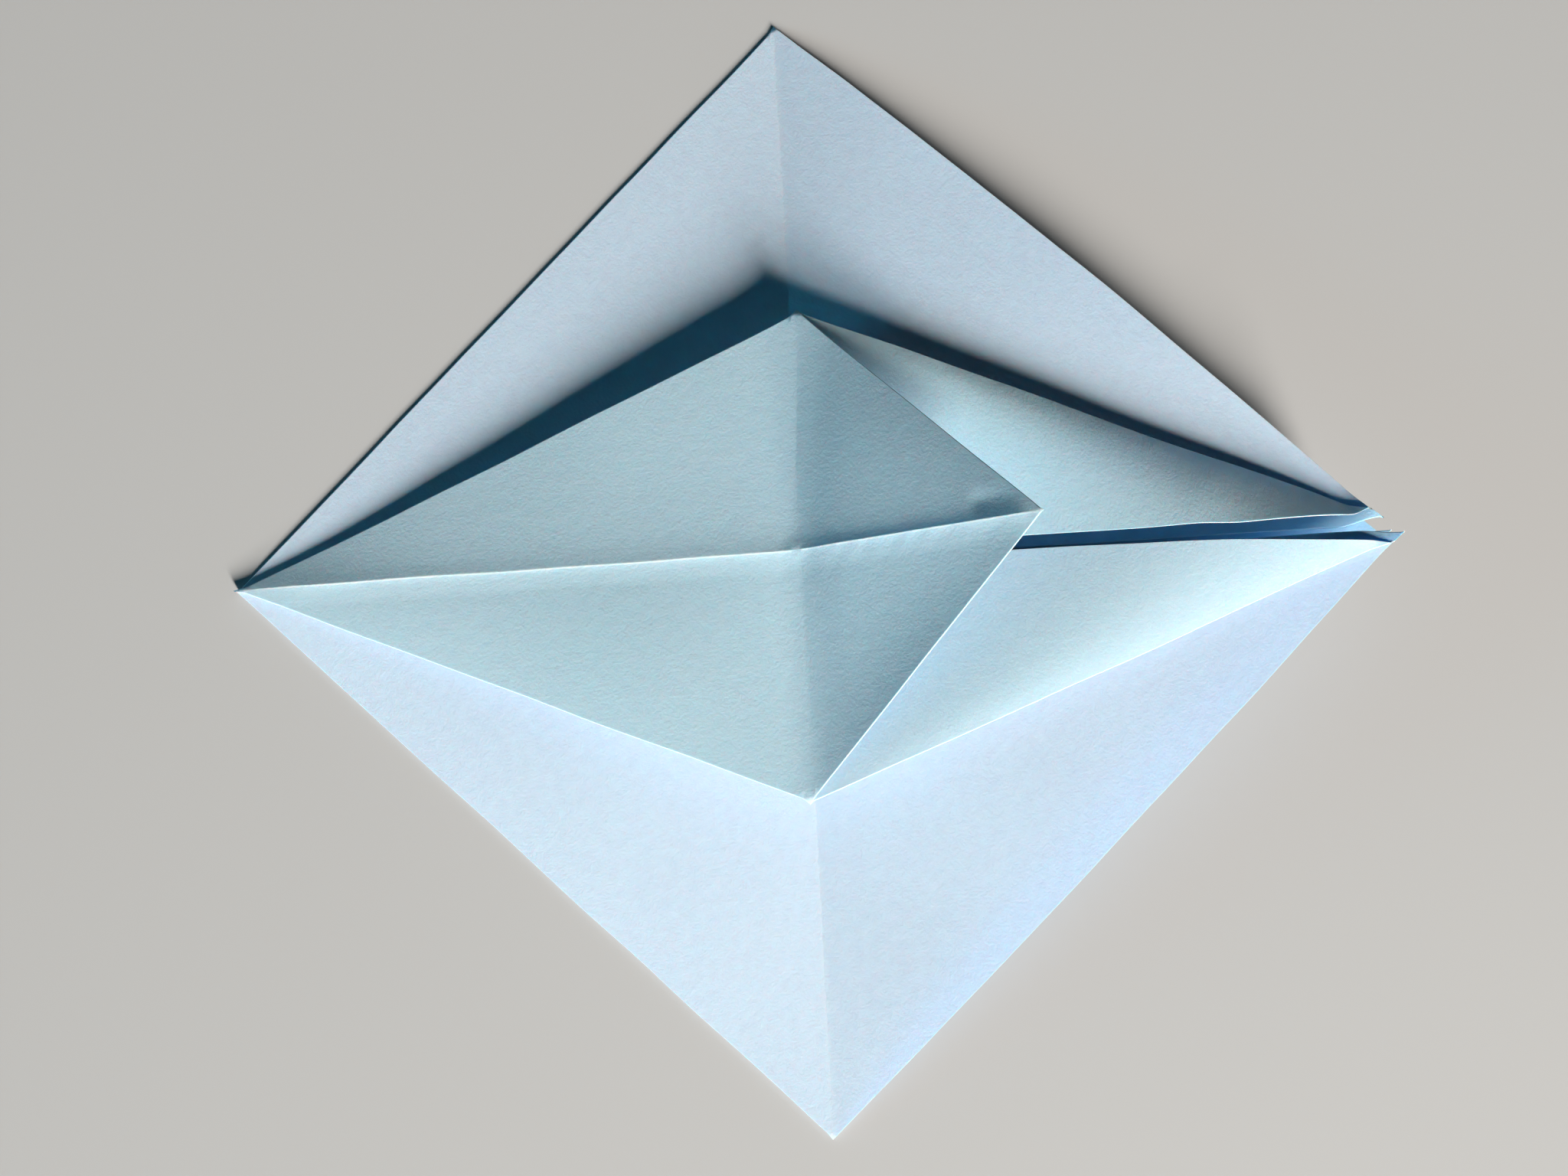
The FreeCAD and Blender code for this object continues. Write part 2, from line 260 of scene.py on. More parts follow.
# Half the width of the open creases that aren't plain.
crease_halves = {
    frozenset(("centre", "root")): crisp,
    frozenset(("root", "side_petal")): crisp,
    frozenset(("root", "wing_upper")): soft,
    frozenset(("root", "wing_lower")): soft,
    frozenset(("side_upper", "mid_upper")): loose,
    frozenset(("side_lower", "mid_lower")): firm,
    frozenset(("curl_upper", "curl_lower")): softest,
}

# How the layers stack at each point that closed folds share, in layer pitches above its place.
kite_level = 5
upper_step = kite_level / 3     # three steps up to the kite, where the lower side has five
levels = {
    "centre": {"tucked_base": 1, "tucked_top": 2, "lower_flap": 3, "lower_pleat": 4,
               "lower_kite": kite_level, "upper_kite": kite_level,
               "upper_flap": upper_step, "upper_pleat": 2 * upper_step},
    "side_upper": {"upper_flap": upper_step},
    "side_back": {"tucked_base": 1},
    "side_lower": {"tucked_top": 2, "lower_flap": 3},
    "mid_upper": {"upper_pleat": upper_step},
    "corner_upper": {"upper_pleat": upper_step},
    "mid_lower": {"lower_pleat": 1},
    "corner_lower": {"lower_pleat": 1},
    "mid_tucked": {"tucked_top": 1},
    "corner_tucked": {"tucked_top": 1},
    "wing_upper": {"upper_hem": -1, "upper_door": -2, "upper_pleat": -3},
    "wing_lower": {"lower_hem": -1, "lower_door": -2, "lower_pleat": -3},
    "side_petal": {"upper_hem": -1, "lower_hem": -1},
    "slit_upper": {"upper_hem": 1},
    "slit_lower": {"lower_hem": 1},
    "end_upper": {"upper_door": 1},
    "end_lower": {"lower_door": 1},
}

# How white the cut edges and folds are painted, from 0 to 1: on the folds partly fibres worn white
# and partly painted highlight where their rounding catches the light, on the dyed-through cut edges
# painted highlight.
rim_highlight = 0.35
plain_wear_and_highlight = 0.15
fold_wear_and_highlight = {
    frozenset(("root", "wing_upper")): 0.0,
    frozenset(("root", "wing_lower")): 0.0,
    frozenset(("centre", "root")): 0.9,
    frozenset(("root", "side_petal")): 0.8,
    frozenset(("side_petal", "wing_lower")): 0.5,
    frozenset(("centre", "wing_upper")): 0.6,
}

# How much painted shade tint each panel gets, from 0 to 1: the raised kite, petal, hem and door
# panels, which lie in shade or turn from the key lamp, are painted a deeper teal, though the paper
# is one colour.
painted_shade_depths = {
    "upper_kite": 0.8,
    "upper_petal": 0.8,
    "upper_hem": 0.8,
    "upper_door": 1.0,
    "lower_kite": 0.8,
    "lower_petal": 0.8,
    "lower_hem": 0.8,
    "lower_door": 0.7,
}


def run(a, b):
    """The distance along the paper between two points of the pattern."""
    return math.dist(flat[a], flat[b])


def reach(start, start_run, end, end_run, height):
    """The point at a height, two paper distances from placed points, left of start-end."""
    near = math.sqrt(start_run ** 2 - (height - start.z) ** 2)
    far = math.sqrt(end_run ** 2 - (height - end.z) ** 2)
    line = Vector((end.x - start.x, end.y - start.y, 0))
    along = (line.length ** 2 + near ** 2 - far ** 2) / (2 * line.length)
    line.normalize()
    beside = Vector((-line.y, line.x, 0))
    foot = Vector((start.x, start.y, height)) + line * along
    return foot + beside * math.sqrt(near ** 2 - along ** 2)


def shares(x, y, a, b, c):
    """How much of each of three pattern points is in a flat point, adding up to 1."""
    (ax, ay), (bx, by), (cx, cy) = flat[a], flat[b], flat[c]
    area = (bx - ax) * (cy - ay) - (cx - ax) * (by - ay)
    of_b = ((x - ax) * (cy - ay) - (cx - ax) * (y - ay)) / area
    of_c = ((bx - ax) * (y - ay) - (x - ax) * (by - ay)) / area
    return 1 - of_b - of_c, of_b, of_c


def plane_map(anchors):
    """The map from the flat sheet to the plane through three placed points of the pattern."""
    (a, b, c) = anchors

    def place(x, y):
        of_a, of_b, of_c = shares(x, y, a, b, c)
        return anchors[a] * of_a + anchors[b] * of_b + anchors[c] * of_c

    return place


def layer(at, panel, point):
    """The place of a point in one panel's own layer of the stack."""
    family = panel.removesuffix("_in").removesuffix("_out")
    level = levels.get(point, {}).get(family, 0)
    return at[point] + Vector((0, 0, level * layer_pitch))


def panel_map(at, panel):
    """The map from the flat sheet to a panel's plane."""
    return plane_map({point: layer(at, panel, point) for point in panels[panel][:3]})


def fold_points():
    """Where each point of the pattern lies once folded."""
    table = paper_thick / 2
    at = {
        "centre": Vector((-diagonal, 0, table)),
        "side_upper": Vector((0, diagonal, table)),
        "side_lower": Vector((0, -diagonal, table)),
        "side_back": Vector((0, -diagonal, table)),
    }

    # the back layer and its curled corner
    back = plane_map({name: at[name] for name in ("centre", "side_upper", "side_back")})
    for name in ("curl_upper", "curl_lower"):
        at[name] = back(*flat[name])
    at["corner_back"] = reach(at["curl_upper"], run("curl_upper", "corner_back"),
                              at["curl_lower"], run("curl_lower", "corner_back"),
                              back_corner_lift)

    # the loose flaps, each from the middle of its inner fold to its corner
    at["mid_upper"] = reach(at["side_upper"], run("side_upper", "mid_upper"),
                            at["centre"], run("centre", "mid_upper"), upper_flap_lift)
    at["corner_upper"] = reach(at["side_upper"], run("side_upper", "corner_upper"),
                               at["mid_upper"], run("mid_upper", "corner_upper"),
                               upper_corner_lift)
    for flap, mid_lift, corner_lift in (("lower", lower_flap_lift, lower_corner_lift),
                                        ("tucked", tucked_flap_lift, tucked_corner_lift)):
        mid, corner = "mid_" + flap, "corner_" + flap
        at[mid] = reach(at["centre"], run("centre", mid),
                        at["side_lower"], run("side_lower", mid), mid_lift)
        at[corner] = reach(at[mid], run(mid, corner),
                           at["side_lower"], run("side_lower", corner), corner_lift)

    # the kite and the petal that hinges across it
    top = layer(at, "upper_kite", "centre")
    at["wing_upper"] = reach(top, run("centre", "wing_upper"),
                             at["corner_upper"], run("corner_upper", "wing_upper"),
                             upper_wing_lift)
    at["root"] = reach(at["wing_upper"], run("wing_upper", "root"),
                       top, run("centre", "root"), root_lift)
    at["wing_lower"] = reach(at["root"], run("root", "wing_lower"),
                             top, run("centre", "wing_lower"), lower_wing_lift)
    at["side_petal"] = reach(at["wing_upper"], run("wing_upper", "side_petal"),
                             at["wing_lower"], run("wing_lower", "side_petal"),
                             petal_tip_lift)

    # the two doors beside the slit
    at["slit_upper"] = reach(at["side_petal"], run("side_petal", "slit_upper"),
                             at["wing_upper"], run("wing_upper", "slit_upper"),
                             root_lift - upper_slit_drop)
    at["slit_lower"] = reach(at["wing_lower"], run("wing_lower", "slit_lower"),
                             at["side_petal"], run("side_petal", "slit_lower"),
                             root_lift - lower_slit_drop)
    for side in ("upper", "lower"):
        at["end_" + side] = panel_map(at, side + "_pleat_out")(*flat["end_" + side])
    return at


def outline(panel):
    """The panel's points in order round it."""
    x0 = sum(flat[p][0] for p in panels[panel]) / len(panels[panel])
    y0 = sum(flat[p][1] for p in panels[panel]) / len(panels[panel])
    return sorted(panels[panel], key=lambda p: math.atan2(flat[p][1] - y0, flat[p][0] - x0))


def step_back(before, here, after, width_in, width_out):
    """The corner of an outline after its two edges have stepped inwards."""
    (ux, uy) = (here[0] - before[0], here[1] - before[1])
    (vx, vy) = (after[0] - here[0], after[1] - here[1])
    u_len, v_len = math.hypot(ux, uy), math.hypot(vx, vy)
    turn = (ux * vy - uy * vx) / (u_len * v_len)
    back = width_out / turn
    on = width_in / turn
    return (here[0] - ux / u_len * back + vx / v_len * on,
            here[1] - uy / u_len * back + vy / v_len * on)


def panel_step(panel):
    """The distance between mesh points on a panel."""
    shows = panel.endswith(("kite", "petal", "door"))
    shows |= panel.startswith(("upper_flap", "lower_flap"))
    return seen_step if shows else hidden_step


def edge_step(a, b):
    """The distance between mesh points along an edge that panels may share."""
    if {a, b} <= set(ridge):
        return ridge_step
    return min(panel_step(panel) for panel, points in panels.items() if {a, b} <= set(points))


def blend(a, b, t):
    """The point a share t of the way from a to b."""
    return tuple(x + (y - x) * t for x, y in zip(a, b))


def climb(values, width):
    """Up from 0 to 1 as the values grow to a width."""
    return np.clip(values / width, 0, 1)


def fade(values, width):
    """Down from 1 to 0 as the values grow to a width."""
    return np.clip(1 - values / width, 0, 1)


def share_along(points, a, b):
    """How far along the stretch a-b, as a share of it, each flat point lies."""
    a, b = np.array(a), np.array(b)
    return np.clip((points - a) @ (b - a) / max((b - a) @ (b - a), TINY), 0, 1)


def segment_distance(points, a, b):
    """How far each flat point is from the stretch a-b."""
    a, b = np.array(a), np.array(b)
    t = share_along(points, a, b)
    return np.linalg.norm(points - a - t[:, None] * (b - a), axis=1)


def door_springs_at(points):
    """How far the doors spring up: none at their folds, most on their loose edges."""
    rise = np.zeros(len(points))
    for side, height in (("upper", upper_door_spring), ("lower", lower_door_spring)):
        slit, end, wing = shares(*points.T, "slit_" + side, "end_" + side, "wing_" + side)
        inside = (slit > 0) & (end > 0) & (wing > -door_overlap)
        along = np.clip(end / np.maximum(slit + end, TINY), 0, 1)
        across = inside * (np.clip(slit, 0, 1) / np.maximum(1 - along, door_tip))
        rise += height * across ** door_curve * np.sin(math.pi * along ** door_lean)
    return rise


def fold_bow_at(points, a, b, height, reach_out):
    """How far a fold arches up between its ends, and the paper beside it with it."""
    along = share_along(points, flat[a], flat[b])
    far = segment_distance(points, flat[a], flat[b])
    return height * 4 * along * (1 - along) * fade(far, reach_out) ** 2


def edge_spring_at(points, hub, near, far, height):
    """How far a flap springs up along the lines from its hub to its loose edge near-far."""
    _, first, last = shares(*points.T, hub, near, far)
    inside = (first > 0) & (last > 0)
    return inside * height * 4 * first * last / np.maximum(first + last, TINY)


def swell_at(points, corners, height):
    """The crown of a panel that is held along all its sides, as high as this at its middle."""
    a, b, c = (np.clip(part, 0, None) for part in shares(*points.T, *corners))
    return height * 27 * a * b * c


def ridge_distance(points):
    """How far each flat point is from the ridge."""
    stretches = [segment_distance(points, flat[a], flat[b]) for a, b in zip(ridge, ridge[1:])]
    return np.minimum(*stretches)


def below_ridge(points):
    """Whether each flat point is on the ridge's lower side."""
    return points[:, 1] < np.interp(points[:, 0], *zip(*(flat[name] for name in ridge)))


def ridge_rise_at(points):
    """How far the pressed ridge stands up: in a band on its lower side, and on its upper side
    fading gently on the kite and steeply on the petal."""
    far = ridge_distance(points)
    taper = climb(points[:, 0], ridge_start) * climb(half - points[:, 0], ridge_end)
    lower = ridge_rise * fade(far, ridge_band)
    lower += ridge_lip * np.exp(-far / ridge_lip_fade)
    change = [wing_x + step for step in fade_change]
    upper_fade = np.interp(points[:, 0], change, (kite_ridge_fade, petal_ridge_fade))
    upper = (ridge_rise + ridge_lip) * np.exp(-far / upper_fade)
    return taper * (far < ridge_side) * np.where(below_ridge(points), lower, upper)


def petal_arch_at(points):
    """How far the petal arches up to its ridge from both halves."""
    far = segment_distance(points, flat["root"], flat["side_petal"])
    taper = (climb(points[:, 0] - wing_x, petal_arch_start)
             * climb(half - points[:, 0], petal_arch_end))
    lower = fade(far, petal_arch_band)
    upper = np.exp(-far / petal_arch_fade)
    return petal_arch * taper * np.where(below_ridge(points), lower, upper)


def rounding_at(points, wing, wing_rounding):
    """How far the crease from the root to a wing is bridged, as its panels curve into it."""
    along = share_along(points, flat["root"], flat[wing])
    width = root_rounding + (wing_rounding - root_rounding) * along
    far = segment_distance(points, flat["root"], flat[wing])
    far = np.where(far < soft, (far ** 2 / soft + soft) / 2, far)
    return rounding_slope * width / 2 * fade(far, width) ** 2


def crinkle_at(points):
    """Small creases beside the petal's ridge, where the paper was drawn out to its point."""
    far = segment_distance(points, flat["root"], flat["side_petal"])
    rise = np.zeros(len(points))
    for i in np.nonzero(far < 3 * crinkle_reach)[0]:
        x, y = points[i]
        along = crinkle_pace * x + crinkle_slant * abs(y)
        fold = noise.noise(Vector((along, crinkle_drift * y, crinkle_slice)))
        rise[i] = crinkle * fold * math.exp(-(far[i] / crinkle_reach) ** 2)
    return rise


def press_at(points):
    """How far the upper edge of the kite, and the pleat under it, are pressed down."""
    out = np.hypot(points[:, 0], points[:, 1])
    turn = np.arctan2(points[:, 1], points[:, 0]) / kite_angle
    across = np.clip(np.where(turn < 1, turn, 2 - turn), 0, 1)
    return -press_depth * across * out / press_run * np.exp(1 - out / press_run)


class Sheet:
    """The middle surface of the folded sheet: its nodes, flat and folded, and its triangles."""

    def __init__(self):
        self.nodes = []
        self.flats = []
        self.wear_and_highlight = []          # how white each node is painted, as wear and painted highlight
        self.faces = []
        self.shade_tints = []          # how much painted shade tint each triangle gets
        self.pressed = []       # the mesh edges where a panel meets a closed fold
        self.at = fold_points()
        self.order = {panel: outline(panel) for panel in panels}
        self.maps = {panel: panel_map(self.at, panel) for panel in panels}
        self.creases = self.find_creases()
        self.edges = {}
        for panel in panels:
            self.add_panel(panel)
        self.bends = {}
        for crease in self.creases:
            self.add_bend(*crease)
        for point in flat:
            self.add_meeting(point)
        self.nodes = np.array(self.nodes)
        self.flats = np.array(self.flats)
        self.wear_and_highlight = np.array(self.wear_and_highlight)
        self.faces = np.array(self.faces)

    def add_node(self, place, spot, wear_and_highlight=0.0):
        """A node at its folded place and its flat spot, by its number."""
        self.nodes.append(tuple(place))
        self.flats.append(tuple(spot))
        self.wear_and_highlight.append(wear_and_highlight)
        return len(self.nodes) - 1

    def add_faces(self, faces, *beside):
        """Triangles of one panel, or of the bend or fan between several."""
        shade_depths = [painted_shade_depths.get(panel, 0.0) for panel in beside]
        self.faces += faces
        self.shade_tints += [sum(shade_depths) / len(shade_depths)] * len(faces)

    def find_creases(self):
        """Each pair of panels that share an edge and its ends, with half the width and the pull
        of their bend."""
        owner = {}
        for panel, points in self.order.items():
            for a, b in zip(points, points[1:] + points[:1]):
                owner[a, b] = panel
        creases = {}
        for (a, b), panel in owner.items():
            other = owner.get((b, a))
            if other and panel < other:
                gap = sum((self.maps[panel](*flat[p]) - self.maps[other](*flat[p])).length
                          for p in (a, b)) / 2
                if gap < paper_thick:
                    half_width = crease_halves.get(frozenset((a, b)), plain)
                    pull = open_pull
                else:
                    # a half circle round the gap takes up this much paper on each side
                    half_width = math.pi / 4 * gap
                    pull = closed_pull
                creases[panel, other, a, b] = (half_width, pull * half_width)
        return creases

    def width(self, a, b):
        """How far a panel's mesh stops short of its edge a-b."""
        for (_, _, p, q), (half_width, _) in self.creases.items():
            if {a, b} == {p, q}:
                return half_width
        return 0.0

    def normal(self, panel):
        """The outer side's direction on a panel."""
        here = self.maps[panel](0, 0)
        side = self.maps[panel](1, 0) - here
        up = self.maps[panel](0, 1) - here
        return side.cross(up).normalized()

    def inner_spots(self, panel, rim):
        """Points over a panel's inside, closer together beside the ridge."""
        rim = np.array(rim)
        low, high = rim.min(0), rim.max(0)
        kept = []
        for step in (panel_step(panel), ridge_step):
            row_step = step * math.sqrt(3) / 2
            spots = []
            for row in range(math.ceil(low[1] / row_step), math.floor(high[1] / row_step) + 1):
                xs = np.arange(math.floor(low[0] / step), math.ceil(high[0] / step) + 1) * step
                xs = xs + (row % 2) * step / 2
                spots.append(np.column_stack((xs, np.full(len(xs), row * row_step))))
            spots = np.concatenate(spots)
            by_ridge = ridge_distance(spots) < ridge_reach
            by_ridge &= panel.endswith(("kite", "petal"))
            spots = spots[by_ridge == (step == ridge_step)]
            clear = np.full(len(spots), np.inf)
            for a, b in zip(rim, np.roll(rim, -1, axis=0)):
                (ux, uy) = b - a
                side = ux * (spots[:, 1] - a[1]) - uy * (spots[:, 0] - a[0])
                clear = np.where(side > 0, np.minimum(clear, segment_distance(spots, a, b)), 0)
            kept.append(spots[clear > rim_clearance * step])
        return np.concatenate(kept)

    def add_panel(self, panel):
        """The part of a panel that is clear of the bends along its creases, as fine triangles."""
        points = self.order[panel]
        spots = {}
        for before, here, after in zip(points[-1:] + points[:-1], points, points[1:] + points[:1]):
            spots[here] = step_back(flat[before], flat[here], flat[after],
                                    self.width(before, here), self.width(here, after))
        corner_nodes = {p: self.add_node(self.maps[panel](*spots[p]), spots[p]) for p in points}
        rim = []
        for a, b in zip(points, points[1:] + points[:1]):
            count = max(2, round(run(a, b) / edge_step(a, b)))
            chain = [corner_nodes[a]]
            for i in range(1, count):
                spot = blend(spots[a], spots[b], i / count)
                chain.append(self.add_node(self.maps[panel](*spot), spot))
            chain.append(corner_nodes[b])
            self.edges[panel, a, b] = chain
            self.edges[panel, b, a] = chain[::-1]
            rim += chain[:-1]
        inner = [self.add_node(self.maps[panel](*spot), spot)
                 for spot in self.inner_spots(panel, [spots[p] for p in points])]
        ids = rim + inner
        borders = [(i, (i + 1) % len(rim)) for i in range(len(rim))]
        _, _, faces, origins, _, _ = geometry.delaunay_2d_cdt(
            [Vector(self.flats[n]) for n in ids], borders, [], INSIDE_ONLY, closeness)
        back = [ids[origin[0]] for origin in origins]
        self.add_faces([[back[i] for i in face] for face in faces], panel)

    def outwards(self, panel, a, b):
        """The direction in a panel's plane that runs over its edge a-b."""
        (ax, ay), (bx, by) = flat[a], flat[b]
        return (self.maps[panel](by - ay, ax - bx) - self.maps[panel](0, 0)).normalized()

    def add_bend(self, left, right, a, b):
        """The bend between two panels, left and right of the crease from a to b."""
        pull = self.creases[left, right, a, b][1]
        # the fold's whitening: partly worn fibres, partly painted highlight on its rounding
        white = fold_wear_and_highlight.get(frozenset((a, b)), plain_wear_and_highlight)
        if self.normal(left).dot(self.normal(right)) < 0:
            for chain in (self.edges[left, a, b], self.edges[right, a, b]):
                self.pressed += zip(chain, chain[1:])
        leave = self.outwards(left, a, b) * pull
        enter = self.outwards(right, b, a) * pull
        rows = []
        for first, last in zip(self.edges[left, a, b], self.edges[right, a, b]):
            start, end = Vector(self.nodes[first]), Vector(self.nodes[last])
            row = [first]
            for i in range(1, fold_flats):
                t = i / fold_flats
                place = (start * (1 - t) ** 3 + (start + leave) * 3 * t * (1 - t) ** 2
                         + (end + enter) * 3 * t * t * (1 - t) + end * t ** 3)
                spot = blend(self.flats[first], self.flats[last], t)
                row.append(self.add_node(place, spot, white * math.sin(math.pi * t)))
            row.append(last)
            rows.append(row)
        for near, far in zip(rows, rows[1:]):
            for i in range(fold_flats):
                self.add_faces([[near[i], near[i + 1], far[i + 1]],
                                [near[i], far[i + 1], far[i]]], left, right)
        for point, row in ((a, rows[0]), (b, rows[-1])):
            self.bends[left, right, point] = row
            self.bends[right, left, point] = row[::-1]

    def around(self, point):
        """The panels round a point, anticlockwise, and whether they close a full turn."""
        steps = {}
        for panel, points in self.order.items():
            if point in points:
                i = points.index(point)
                steps[points[(i + 1) % len(points)]] = (panel, points[i - 1])
        ends = {end for _, end in steps.values()}
        loose_starts = [start for start in steps if start not in ends]
        start = loose_starts[0] if loose_starts else next(iter(steps))
        ring = []
        while start in steps:
            panel, start = steps.pop(start)
            ring.append(panel)
        return ring, not loose_starts

    def add_meeting(self, point):
        """The small fan of paper where the bends round a point of the pattern meet."""
        ring, closed = self.around(point)
        # a lone bend that runs out over a straight edge of the sheet needs none
        needed = 2 if point.startswith("corner") else 3
        if not closed and len(ring) < needed:
            return
        pairs = list(zip(ring, ring[1:]))
        if closed:
            pairs.append((ring[-1], ring[0]))
        loop = []
        for one, other in pairs:
            row = self.bends[one, other, point]
            loop += row if not loop else row[1:]
        place = max((self.maps[panel](*flat[point]) for panel in ring), key=lambda spot: spot.z)
        centre = self.add_node(place, flat[point], plain_wear_and_highlight)
        fan = [[centre, one, other] for one, other in zip(loop, loop[1:])]
        self.add_faces(fan, *ring)


def spring(sheet):
    """The sheet's nodes, moved to the gentle curves that paper takes between its folds."""
    spots = sheet.flats
    rise = door_springs_at(spots)
    rise += fold_bow_at(spots, "wing_upper", "end_upper", upper_fold_bow, upper_fold_reach)
    rise += edge_spring_at(spots, "mid_upper", "corner_upper", "side_upper", upper_flap_spring)
    rise += edge_spring_at(spots, "mid_lower", "side_lower", "corner_lower", lower_flap_spring)
    for corners, height in swells.items():
        rise += swell_at(spots, corners, height)
    rise += ridge_rise_at(spots) + press_at(spots) + crinkle_at(spots) + petal_arch_at(spots)
    rise += rounding_at(spots, "wing_upper", upper_wing_rounding)
    rise += rounding_at(spots, "wing_lower", lower_wing_rounding)
    hook = np.linalg.norm(spots - np.array(flat["corner_lower"]), axis=1)
    rise += hook_rise * fade(hook, hook_reach) ** 2
    nodes = sheet.nodes.copy()
    nodes[:, 2] += rise
    for start, end, felt, move in pulls:
        share = np.clip(1 - (segment_distance(spots, start, end) / felt) ** 2, 0, 1) ** 2
        nodes += share[:, None] * np.array(move)

    # what every layer does together, by its place and not by its panel
    tip = Vector(sheet.maps["upper_petal"](*flat["side_petal"])) - sheet.at["root"]
    ahead = np.array(tip.xy.normalized())
    away = nodes[:, :2] - np.array(sheet.maps["upper_petal"](*dent_at).xy)
    along, across = away @ ahead, away @ np.array((-ahead[1], ahead[0]))
    along /= np.where(along < 0, dent_before, dent_after)
    dent = np.exp(-along ** 2 - (across / dent_wide) ** 2)
    nodes[:, 2] -= dent_depth * dent * (nodes[:, 2] > root_lift)
    noise.seed_set(wander_seed)
    for node in nodes:
        x, y, z = node
        free = min(1, z / wave_free)
        node[2] += wave_rise * free * noise.noise(Vector((x, y, wave_slice)) / wave_length)
        stray = noise.noise_vector(Vector((x, y, wander_slice)) / wander_length)
        node += wander * np.array(stray) * (1, 1, 0)
    return nodes


def node_normals(nodes, faces):
    """The outer side's direction at each node."""
    a, b, c = (nodes[faces[:, i]] for i in range(3))
    turns = np.cross(b - a, c - a)
    normals = np.zeros_like(nodes)
    for i in range(3):
        np.add.at(normals, faces[:, i], turns)
    return normals / np.maximum(np.linalg.norm(normals, axis=1), TINY)[:, None]


def thicken(nodes, faces):
    """The closed skin, half the thickness each side of the middle surface, and its rim's edges."""
    offset = node_normals(nodes, faces) * paper_thick / 2
    count = len(nodes)
    points = np.concatenate([nodes + offset, nodes - offset])
    ways = np.concatenate([faces[:, [i, (i + 1) % 3]] for i in range(3)])
    known = {tuple(way) for way in ways.tolist()}
    rim = [(a, b) for a, b in ways.tolist() if (b, a) not in known]
    skins = faces.tolist() + (faces[:, ::-1] + count).tolist()
    skins += [[a + count, b + count, b, a] for a, b in rim]
    return points, skins, rim


def mark(mesh, name, domain, values):
    """Gives each face or corner of the mesh a number that its material reads."""
    mesh.attributes.new(name, "FLOAT", domain).data.foreach_set("value", values)


def folded_sheet():
    """The whole sheet as one mesh object, with its flat pattern as UVs."""
    sheet = Sheet()
    points, skins, rim = thicken(spring(sheet), sheet.faces)
    count = len(sheet.nodes)
    mesh = bpy.data.meshes.new("folded_paper")
    mesh.from_pydata((points * MM).tolist(), [], skins)

    # smooth all over, but for the cut edges and the borders of the closed folds
    mesh.shade_smooth()
    sharp = {frozenset(pair) for a, b in rim + sheet.pressed
             for pair in ((a, b), (a + count, b + count))}
    for edge in mesh.edges:
        if frozenset(edge.vertices) in sharp:
            edge.use_edge_sharp = True

    corners = np.empty(len(mesh.loops), int)
    mesh.loops.foreach_get("vertex_index", corners)
    pattern = mesh.uv_layers.new(name="pattern")
    pattern.data.foreach_set("uv", (sheet.flats[corners % count] / (2 * half) + 0.5).ravel())

    faces, rim_faces = len(sheet.faces), len(rim)
    mark(mesh, "inner", "FACE", np.repeat((0.0, 1.0, 0.0), (faces, faces, rim_faces)))
    # each face's share of the painted shade tint
    mark(mesh, "painted_shade", "FACE", np.resize(sheet.shade_tints, len(skins)))
    on_rim = np.arange(len(corners)) >= len(corners) - 4 * rim_faces
    # the cut edges get a painted highlight, the folds wear and painted highlight
    mark(mesh, "wear_and_highlight", "CORNER", np.where(on_rim, rim_highlight, sheet.wear_and_highlight[corners % count]))

    piece = bpy.data.objects.new("folded_paper", mesh)
    bpy.context.scene.collection.objects.link(piece)
    print("folded_paper", len(points), "points,", sum(len(s) - 2 for s in skins), "triangles")
    return piece


piece = folded_sheet()
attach(piece, "root")
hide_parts(CAD_NODE)

# ---------------------------------------------------------------- the paper
plain_dye = (0.61, 0.712, 0.835, 1)
# the teal painted on the panels that lie in shade: painted shade, not a second dye
painted_shade_teal = (0.575, 0.81, 0.98, 1)
cloud_dye = (0.66, 0.79, 0.95, 1)
fibre_dye = (0.70, 0.83, 0.97, 1)
# the inner side is painted a deeper blue as painted shade, for the shaded slit where it shows; the
# paper is one colour on both sides
inner_painted_shade = (0.46, 0.71, 0.92, 1)
# the white of the folds and cut edges: worn fibres and painted highlight
wear_and_highlight_white = (0.88, 0.93, 0.97, 1)
usual = (0.3, 0.7)          # the stretch that most of a noise's values lie in
cloud_most = 0.3            # the most of the cloud's and the fibres' dye that mixes in
fibre_most = 0.35
patch_band = (0.38, 0.6)    # the noise values between which a fold's whitening sets in
patch_least = 0.25          # how white the least and the most whitened patches of a fold are
patch_most = 0.8
gloss = 0.25
smoothest = 0.72            # the roughness between fibres, and on them
roughest = 0.88
fibre_height = 0.9          # of the fibres beside the paper's tooth
tooth_height = 0.00004      # m
light_reach = 0.00015       # how far light spreads inside the paper, m
light_spread = (0.25, 0.85, 1.0)    # and the share of that for its red, green and blue


